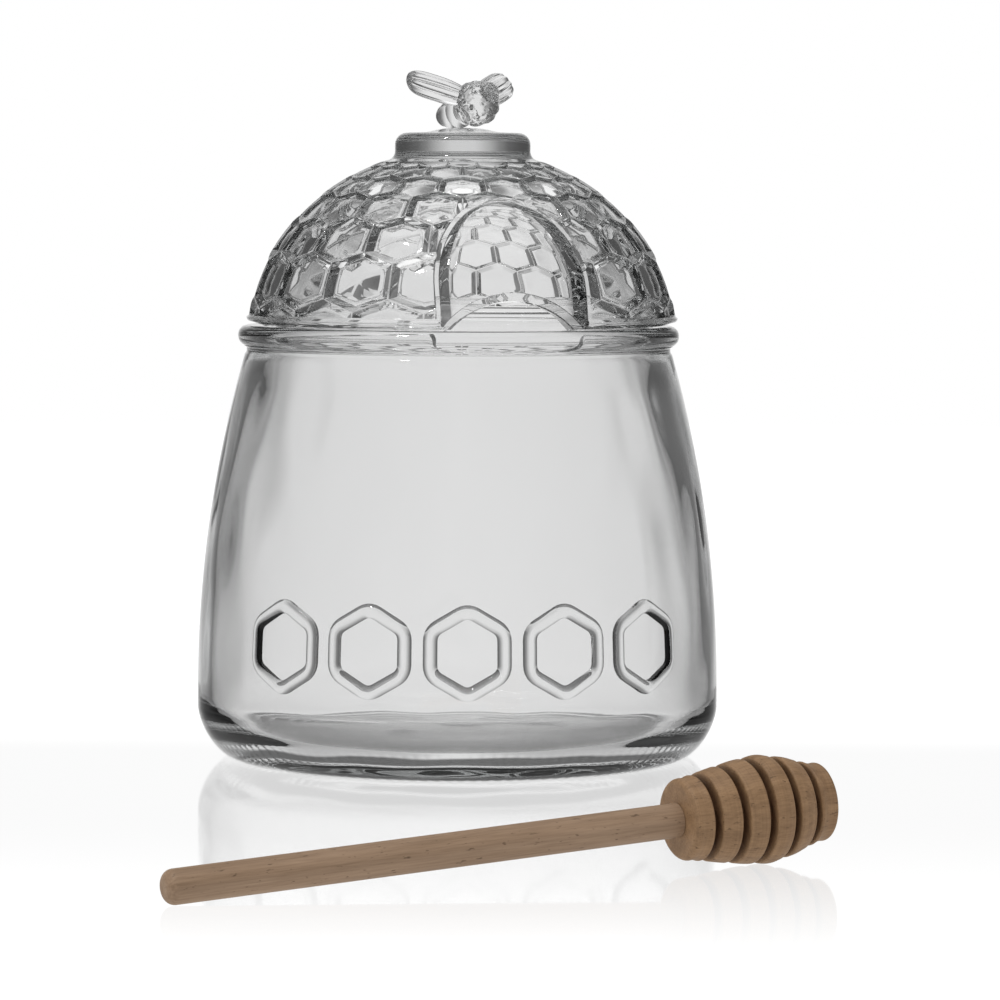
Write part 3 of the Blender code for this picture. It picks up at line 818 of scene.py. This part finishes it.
def ball(name, radii, place, collection, roughen=0.0):
    """Ellipsoid of three radii, placed by a matrix, with a coat of small tufts if wanted."""
    body = bmesh.new()
    bmesh.ops.create_icosphere(body, subdivisions=5 if roughen else 4, radius=1.0)
    for vertex in body.verts:
        if roughen:
            tuft = noise.noise(vertex.co * 3.6) + 0.35 * noise.noise(vertex.co * 8)
            vertex.co *= 1 + roughen * tuft / radii[0]
    body.transform(place @ Matrix.Diagonal((*radii, 1.0)))
    mesh = bpy.data.meshes.new(name)
    body.to_mesh(mesh)
    body.free()
    return add_object(name, mesh, collection)


def make_wing(name, side, turn, collection):
    """Blunt wing with lengthwise ribs, swept back and raised."""
    root = Vector((WING_ROOT[0] * side, WING_ROOT[1], WING_ROOT[2]))
    along = Vector((side * math.cos(WING_SWEEP), math.sin(WING_SWEEP), math.tan(WING_RISE))).normalized()
    flat = along.cross(Vector((0.0, 0.0, 1.0))).normalized()
    upright = flat.cross(along)
    broad = flat * math.cos(WING_ROLL) * side - upright * math.sin(WING_ROLL)
    thick = along.cross(broad)
    frame_matrix = Matrix((along, broad, thick)).transposed().to_4x4()
    middle = root + along * (WING_LENGTH / 2 - 0.001)
    body = bmesh.new()
    bmesh.ops.create_uvsphere(body, u_segments=72, v_segments=48, radius=1.0)
    for vertex in body.verts:
        x, y, z = vertex.co
        around = math.atan2(y, x)
        blunt = (1 - abs(z) ** 4.5) ** (1 / 2.2) if abs(z) < 1 else 0.0
        rib = 1 + RIB_RELIEF * math.cos(around * 2 * WING_RIBS) * smooth_step((1 - abs(z)) * 5)
        narrow = 1 - 0.18 * smooth_step(-z)
        across = math.cos(around) * blunt * narrow
        deep = math.sin(around) * blunt * rib * narrow
        vertex.co = Vector((z * WING_LENGTH / 2, across * WING_WIDTH / 2, deep * WING_THICKNESS / 2))
    body.transform(turn @ Matrix.Translation(middle) @ frame_matrix)
    mesh = bpy.data.meshes.new(name)
    bmesh.ops.recalc_face_normals(body, faces=body.faces)
    body.to_mesh(mesh)
    body.free()
    weld(mesh)
    add_object(name, mesh, collection)


def make_bee(collection):
    """Pieces of the bee, which heads along -Y before it is turned."""
    turn = Matrix.Rotation(BEE_TURN, 4, "Z")
    ball("thorax", (THORAX_RADIUS,) * 3, turn @ Matrix.Translation(THORAX_AT), collection, FUR_DEPTH)
    ball("head", (HEAD_RADIUS,) * 3, turn @ Matrix.Translation(HEAD_AT), collection, FUR_DEPTH * 0.7)
    profile = [(0.0, ABDOMEN_LENGTH)]
    steps = 64
    for step in range(1, steps):
        height = ABDOMEN_LENGTH * (1 - step / steps)
        swell = math.sqrt(max(0.0, 1 - ((height / ABDOMEN_LENGTH - 0.35) / 0.66) ** 2))
        ring = abs(math.sin(math.pi * height / ABDOMEN_LENGTH * ABDOMEN_RINGS)) ** 0.5
        profile.append((max(0.0004, ABDOMEN_RADIUS * swell * (0.90 + 0.10 * ring)), height))
    profile.append((0.0, 0.0))
    abdomen = turned("abdomen", profile, 48, collection)
    lean = Matrix.Rotation(-(QUARTER + ABDOMEN_PITCH), 4, "X")
    abdomen.matrix_world = turn @ Matrix.Translation(ABDOMEN_START) @ lean
    for side in (-1, 1):
        make_wing("wing_%d" % side, side, turn, collection)


def make_lid(collection, axis):
    """Lid with its honeycomb, door, notch and bee, as one piece of glass."""
    lid = turned("lid_glass", lid_profile(), LID_SIDES, collection)
    cutters = new_collection("lid_cutters")
    make_cells(cutters)
    make_door(cutters)
    make_notch(cutters)
    combine(lid, "DIFFERENCE", cutters)
    bee = new_collection("bee")
    make_bee(bee)
    combine(lid, "UNION", bee)
    lid.location = axis + Vector((LID_SHIFT, 0.0, 0.0))
    lid.rotation_euler = (0.0, 0.0, LID_TURN)
    shade(lid, 24)
    return lid


def ring_section(index):
    """Points of one ring of the head, from its upper edge to its lower one."""
    count = len(RING_RADII)
    low = index * (RING_WIDTH + GROOVE_WIDTH)
    high = low + RING_WIDTH
    radius = RING_RADII[index]
    above = RING_RADII[min(index + 1, count - 1)]
    below = RING_RADII[max(index - 1, 0)]
    high_radius = radius + (above - radius) * RING_SLOPE
    low_radius = radius + (below - radius) * RING_SLOPE
    points = arc((high_radius - RING_ROUND, high - RING_ROUND), RING_ROUND, RING_ROUND, QUARTER, 0.0, 6)
    edge = FACE_ROUND if index == 0 else RING_ROUND
    for share in between(0.0, 1.0, 8)[1:-1]:
        height = high - RING_ROUND - (RING_WIDTH - RING_ROUND - edge) * share
        line = high_radius + (low_radius - high_radius) * share
        crown = (radius - (high_radius + low_radius) / 2) * math.sin(math.pi * share)
        points.append((line + crown, height))
    points += arc((low_radius - edge, low + edge), edge, edge, 0.0, -QUARTER, 8)
    return points


def head_profile():
    """Section of the head, from its tip down over the rings to its face."""
    pitch = RING_WIDTH + GROOVE_WIDTH
    count = len(RING_RADII)
    top = count * RING_WIDTH + (count - 1) * GROOVE_WIDTH
    points = [(across, top) for across in between(0.0, RING_RADII[-1] - 0.002, 8)]
    corner = 0.0002
    for index in range(count - 1, -1, -1):
        points += ring_section(index)
        if index > 0:
            low = index * pitch
            waist = min(RING_RADII[index], RING_RADII[index - 1]) - GROOVE_DEPTH
            edge = points[-1][0]
            points += [(across, low) for across in between(edge, waist + corner, 4)[1:]]
            next_high = low - GROOVE_WIDTH
            points += [(waist, low - corner), (waist, low - GROOVE_WIDTH / 2), (waist, next_high + corner)]
            points += [(across, next_high) for across in between(waist + corner, waist + 0.0012, 2)]
    points += [(across, 0.0) for across in between(points[-1][0], 0.0, 10)[1:]]
    return points


def handle_profile():
    """Section of the handle, from the end at the head down to its rounded free end."""
    top = HANDLE_VISIBLE - JOINT_GAP
    points = [(0.0, top), (HANDLE_RADIUS, top)]
    points += [(HANDLE_RADIUS, height) for height in between(top, HANDLE_ROUND, 60)[1:-1]]
    corner = (HANDLE_RADIUS - HANDLE_ROUND, HANDLE_ROUND)
    points += arc(corner, HANDLE_ROUND, HANDLE_ROUND, 0.0, -QUARTER, 10)
    points.append((0.0, 0.0))
    return points


def dipper_place(axis):
    """Matrix that lays the dipper on the table on its widest ring and its handle's end."""
    widest = max(range(len(RING_RADII)), key=lambda index: RING_RADII[index])
    widest_at = HANDLE_VISIBLE + widest * (RING_WIDTH + GROOVE_WIDTH) + RING_WIDTH / 2
    rise = math.asin((RING_RADII[widest] - HANDLE_RADIUS) / (widest_at - HANDLE_ROUND))
    foot_height = HANDLE_RADIUS * math.cos(rise) - HANDLE_ROUND * math.sin(rise)
    foot_height += HANDLE_RADIUS * math.sin(rise) * math.tan(rise)
    lay = Matrix.Rotation(DIPPER_YAW, 4, "Z") @ Matrix.Rotation(QUARTER - rise, 4, "Y")
    return Matrix.Translation(axis) @ Matrix.Translation((*DIPPER_FOOT, foot_height)) @ lay


def mark_depth(head):
    """Store how far each point lies below the rings' outer line, for the painted shade in the grooves."""
    pitch = RING_WIDTH + GROOVE_WIDTH
    depths = head.data.attributes.new("groove", "FLOAT", "POINT")
    heights = [index * pitch + RING_WIDTH / 2 for index in range(len(RING_RADII))]
    for vertex in head.data.vertices:
        envelope = float(np.interp(vertex.co.z, heights, RING_RADII))
        radius = math.hypot(vertex.co.x, vertex.co.y)
        inside = 0.0 < vertex.co.z - RING_WIDTH * 0.5 < heights[-1] - heights[0]
        depth = (envelope - radius) / GROOVE_DEPTH if inside else 0.0
        depths.data[vertex.index].value = smooth_step(depth * 1.1)


def make_dipper(collection, axis):
    """Handle and head of the dipper."""
    place = dipper_place(axis)
    handle = turned("dipper_handle_wood", handle_profile(), DIPPER_SIDES // 2, collection)
    handle.matrix_world = place
    shade(handle, 40)
    head = turned("dipper_head_wood", head_profile(), DIPPER_SIDES, collection)
    head.matrix_world = place @ Matrix.Translation((0.0, 0.0, HANDLE_VISIBLE))
    mark_depth(head)
    shade(head, 40)
    return handle, head


def new_material(name):
    """Empty node material, with its node tree and output."""
    material = bpy.data.materials.new(name)
    material.use_nodes = True
    tree = material.node_tree
    return material, tree, tree.nodes["Principled BSDF"], tree.nodes["Material Output"]


def glass_material(name):
    """Clear glass with a slight grey tint that deepens with thickness."""
    material, tree, shader, output = new_material(name)
    shader.inputs["Base Color"].default_value = (1.0, 1.0, 1.0, 1.0)
    shader.inputs["Roughness"].default_value = 0.0
    shader.inputs["IOR"].default_value = GLASS_IOR
    shader.inputs["Transmission Weight"].default_value = 1.0
    tint = tree.nodes.new("ShaderNodeVolumeAbsorption")
    tint.inputs["Color"].default_value = GLASS_TINT
    tint.inputs["Density"].default_value = GLASS_DENSITY
    tree.links.new(tint.outputs["Volume"], output.inputs["Volume"])
    return material


def noise_node(tree, coordinates, scale, stretch, detail):
    """Noise that is stretched along the wood's length."""
    mapping = tree.nodes.new("ShaderNodeMapping")
    mapping.inputs["Scale"].default_value = stretch
    tree.links.new(coordinates, mapping.inputs["Vector"])
    grain = tree.nodes.new("ShaderNodeTexNoise")
    grain.inputs["Scale"].default_value = scale
    grain.inputs["Detail"].default_value = detail
    grain.inputs["Roughness"].default_value = 0.6
    tree.links.new(mapping.outputs["Vector"], grain.inputs["Vector"])
    return grain.outputs["Fac"]


def ramp_node(tree, value, stops):
    """Colour ramp over a value."""
    ramp = tree.nodes.new("ShaderNodeValToRGB")
    elements = ramp.color_ramp.elements
    while len(elements) < len(stops):
        elements.new(0.5)
    for element, (position, colour) in zip(elements, stops):
        element.position = position
        element.color = (*colour, 1.0)
    tree.links.new(value, ramp.inputs["Fac"])
    return ramp.outputs["Color"]


def grey_ramp(tree, value, stops):
    """Ramp of greys over a value."""
    return ramp_node(tree, value, [(place, (level,) * 3) for place, level in stops])


def mix_node(tree, mode, factor, first, second):
    """Mix two colours; the factor is a number or a socket."""
    mix = tree.nodes.new("ShaderNodeMix")
    mix.data_type = "RGBA"
    mix.blend_type = mode
    if isinstance(factor, float):
        mix.inputs["Factor"].default_value = factor
    else:
        tree.links.new(factor, mix.inputs["Factor"])
    for socket, value in ((mix.inputs[6], first), (mix.inputs[7], second)):
        if isinstance(value, tuple):
            socket.default_value = (*value, 1.0)
        else:
            tree.links.new(value, socket)
    return mix.outputs[2]


def wood_material(name, light, dark, grooves):
    """Sanded wood with lengthwise grain, small pores and, on the head, painted shade in the grooves."""
    material, tree, shader, _ = new_material(name)
    place = tree.nodes.new("ShaderNodeTexCoord").outputs["Object"]
    broad = noise_node(tree, place, 1.0, (420.0, 420.0, 22.0), 3.0)
    fine = noise_node(tree, place, 1.0, (2600.0, 2600.0, 120.0), 4.0)
    pores = noise_node(tree, place, 1.0, (1500.0, 1500.0, 420.0), 2.0)
    colour = ramp_node(tree, broad, ((0.30, dark), (0.70, light)))
    streaks = ramp_node(tree, fine, ((0.30, (0.82, 0.80, 0.78)), (0.62, (1.06, 1.06, 1.06))))
    colour = mix_node(tree, "MULTIPLY", 1.0, colour, streaks)
    specks = ramp_node(tree, pores, ((0.27, (0.45, 0.42, 0.40)), (0.36, (1.0, 1.0, 1.0))))
    colour = mix_node(tree, "MULTIPLY", 1.0, colour, specks)
    if grooves:
        turning = noise_node(tree, place, 1.0, (60.0, 60.0, 3400.0), 2.0)
        marks = ramp_node(tree, turning, ((0.35, (0.90, 0.89, 0.88)), (0.65, (1.05, 1.05, 1.05))))
        colour = mix_node(tree, "MULTIPLY", 1.0, colour, marks)
        # Painted shade: the grooves darken with their depth below the rings' outer line
        depth = tree.nodes.new("ShaderNodeAttribute")
        depth.attribute_name = "groove"
        groove_shaded_colour = mix_node(tree, "MULTIPLY", 1.0, colour, GROOVE_PAINTED_SHADE)
        colour = mix_node(tree, "MIX", depth.outputs["Fac"], colour, groove_shaded_colour)
    tree.links.new(colour, shader.inputs["Base Color"])
    shader.inputs["Roughness"].default_value = WOOD_ROUGHNESS
    shader.inputs["Specular IOR Level"].default_value = 0.35
    bump = tree.nodes.new("ShaderNodeBump")
    bump.inputs["Strength"].default_value = 0.35
    bump.inputs["Distance"].default_value = 0.00012
    tree.links.new(fine, bump.inputs["Height"])
    tree.links.new(bump.outputs["Normal"], shader.inputs["Normal"])
    return material


def math_node(tree, operation, first, second=0.0, third=0.0):
    """Math node on numbers or sockets."""
    node = tree.nodes.new("ShaderNodeMath")
    node.operation = operation
    for socket, value in zip(node.inputs, (first, second, third)):
        if isinstance(value, float):
            socket.default_value = value
        else:
            tree.links.new(value, socket)
    return node.outputs["Value"]


def range_node(tree, value, start, end, low=0.0, high=1.0):
    """Ease a value from one range to another."""
    node = tree.nodes.new("ShaderNodeMapRange")
    node.interpolation_type = "SMOOTHSTEP"
    for name, number in (("From Min", start), ("From Max", end), ("To Min", low), ("To Max", high)):
        node.inputs[name].default_value = number
    tree.links.new(value, node.inputs["Value"])
    return node.outputs["Result"]


def make_studio():
    """White backdrop whose glow fades to the sides, with a soft light above, as the glass sees it."""
    world = bpy.data.worlds.new("studio")
    bpy.context.scene.world = world
    world.use_nodes = True
    tree = world.node_tree
    tree.nodes.clear()
    direction = tree.nodes.new("ShaderNodeTexCoord").outputs["Generated"]
    parts = tree.nodes.new("ShaderNodeSeparateXYZ")
    tree.links.new(direction, parts.inputs["Vector"])
    rise = math_node(tree, "ARCSINE", parts.outputs["Z"])
    turn = math_node(tree, "ARCTAN2", parts.outputs["X"], parts.outputs["Y"])
    aside = math_node(tree, "ABSOLUTE", math_node(tree, "SUBTRACT", turn, BACKDROP_TURN))
    backdrop = grey_ramp(tree, math_node(tree, "MULTIPLY", aside, 1 / math.pi), BACKDROP)
    below = range_node(tree, rise, *BELOW_ANGLES, 0.0, BELOW_SHARE)
    backdrop = mix_node(tree, "MIX", below, backdrop, (BELOW_GREY,) * 3)
    above = range_node(tree, rise, *ABOVE_ANGLES)
    backdrop = mix_node(tree, "MIX", above, backdrop, (ABOVE_GLOW,) * 3)
    share = math_node(tree, "MULTIPLY_ADD", rise, 1 / math.pi, 0.5)
    room = grey_ramp(tree, share, ROOM)
    rays = tree.nodes.new("ShaderNodeLightPath")
    colour = mix_node(tree, "MIX", rays.outputs["Is Singular Ray"], room, backdrop)
    colour = mix_node(tree, "MIX", rays.outputs["Is Camera Ray"], colour, (1.0, 1.0, 1.0))
    background = tree.nodes.new("ShaderNodeBackground")
    tree.links.new(colour, background.inputs["Color"])
    output = tree.nodes.new("ShaderNodeOutputWorld")
    tree.links.new(background.outputs["Background"], output.inputs["Surface"])


def make_floor(collection, axis):
    """White tabletop that mirrors what stands on it; the glass sees it only under the jar, as a dim glow
    that is painted shadow.
    """
    body = bmesh.new()
    bmesh.ops.create_circle(body, cap_ends=True, segments=96, radius=FLOOR_RADIUS)
    mesh = bpy.data.meshes.new("tabletop")
    body.to_mesh(mesh)
    body.free()
    floor = add_object("tabletop", mesh, collection)
    floor.location = (axis.x, axis.y, -0.0001)
    material, tree, shader, output = new_material("tabletop")
    tree.nodes.remove(shader)
    place = tree.nodes.new("ShaderNodeTexCoord").outputs["Object"]
    parts = tree.nodes.new("ShaderNodeSeparateXYZ")
    tree.links.new(place, parts.inputs["Vector"])
    amount = range_node(tree, parts.outputs["Y"], MIRROR_FULL, MIRROR_END, MIRROR_AMOUNT, 0.0)
    before = range_node(tree, parts.outputs["Y"], MIRROR_BACK, 0.0)
    amount = math_node(tree, "MULTIPLY", amount, before)
    mirror = tree.nodes.new("ShaderNodeBsdfGlossy")
    mirror.inputs["Roughness"].default_value = MIRROR_ROUGHNESS
    surface = mix_shader(tree, amount, glow_node(tree, FLOOR_GLOW), mirror.outputs["BSDF"])
    length = tree.nodes.new("ShaderNodeVectorMath")
    length.operation = "LENGTH"
    tree.links.new(place, length.inputs[0])
    # Under the jar, rays other than the camera's meet a dim glow instead of passing through: painted
    # shadow beneath the jar
    under = range_node(tree, length.outputs["Value"], BASE_RADIUS, BASE_RADIUS - 0.002)
    clear = tree.nodes.new("ShaderNodeBsdfTransparent")
    painted_shadow_or_clear = mix_shader(tree, under, clear.outputs["BSDF"], glow_node(tree, UNDER_JAR_PAINTED_SHADOW))
    seen = tree.nodes.new("ShaderNodeLightPath").outputs["Is Camera Ray"]
    tree.links.new(mix_shader(tree, seen, painted_shadow_or_clear, surface), output.inputs["Surface"])
    mesh.materials.append(material)


def mix_shader(tree, factor, first, second):
    """Mix two shaders by a socket."""
    mix = tree.nodes.new("ShaderNodeMixShader")
    tree.links.new(factor, mix.inputs["Fac"])
    tree.links.new(first, mix.inputs[1])
    tree.links.new(second, mix.inputs[2])
    return mix.outputs["Shader"]


def glow_node(tree, strength):
    """White emission."""
    glow = tree.nodes.new("ShaderNodeEmission")
    glow.inputs["Color"].default_value = (1.0, 1.0, 1.0, 1.0)
    glow.inputs["Strength"].default_value = strength
    return glow.outputs["Emission"]


def make_light(name, place, target, size, power):
    """Soft square lamp that looks at a point."""
    lamp = bpy.data.lights.new(name, "AREA")
    lamp.size = size
    lamp.energy = power
    holder = bpy.data.objects.new(name, lamp)
    bpy.context.scene.collection.objects.link(holder)
    holder.location = place
    holder.rotation_euler = (Vector(target) - Vector(place)).to_track_quat("-Z", "Y").to_euler()


def make_camera(axis):
    """Camera at the photograph's viewing angle."""
    data = bpy.data.cameras.new("camera")
    data.sensor_width = SENSOR_WIDTH
    data.lens = FOCAL_LENGTH
    data.clip_start = 0.05
    data.clip_end = 20.0
    camera = bpy.data.objects.new("camera", data)
    bpy.context.scene.collection.objects.link(camera)
    camera.location = axis + Vector((CAMERA_RIGHT, -CAMERA_DISTANCE, CAMERA_HEIGHT))
    aim = Matrix.Rotation(QUARTER - CAMERA_TILT, 4, "X") @ Matrix.Rotation(CAMERA_ROLL, 4, "Z")
    camera.rotation_euler = aim.to_euler()
    bpy.context.scene.camera = camera


def set_look():
    """Plain colour handling, and enough bounces for light to leave the glass."""
    scene = bpy.context.scene
    scene.view_settings.view_transform = "Standard"
    scene.view_settings.look = "None"
    scene.cycles.max_bounces = 32
    scene.cycles.transmission_bounces = 32
    scene.cycles.glossy_bounces = 16
    scene.cycles.transparent_max_bounces = 32
    scene.cycles.caustics_reflective = True
    scene.cycles.caustics_refractive = True
    scene.cycles.use_denoising = True


def dress(piece, material, node):
    """Give a piece its material and its place in the frame."""
    piece.data.materials.clear()
    piece.data.materials.append(material)
    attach(piece, "root")
    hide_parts(node)


def main():
    """Build every piece, the studio and the camera."""
    collection = new_collection("visible_pieces")
    low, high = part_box("jar")
    axis = Vector(((low.x + high.x) / 2, high.y - BELLY_RADIUS, 0.0))
    make_camera(axis)
    set_look()
    make_studio()
    make_floor(collection, axis)
    make_light("key", axis + KEY_PLACE, axis + KEY_TARGET, KEY_SIZE, KEY_POWER)
    dress(make_jar(collection, axis), glass_material("jar_glass"), "jar")
    dress(make_lid(collection, axis), glass_material("lid_glass"), "lid")
    handle, head = make_dipper(collection, axis)
    pale = wood_material("handle_wood", HANDLE_LIGHT, HANDLE_DARK, False)
    brown = wood_material("head_wood", HEAD_LIGHT, HEAD_DARK, True)
    dress(handle, pale, "dipper_handle")
    dress(head, brown, "dipper_head")


main()
bpy.context.view_layer.update()
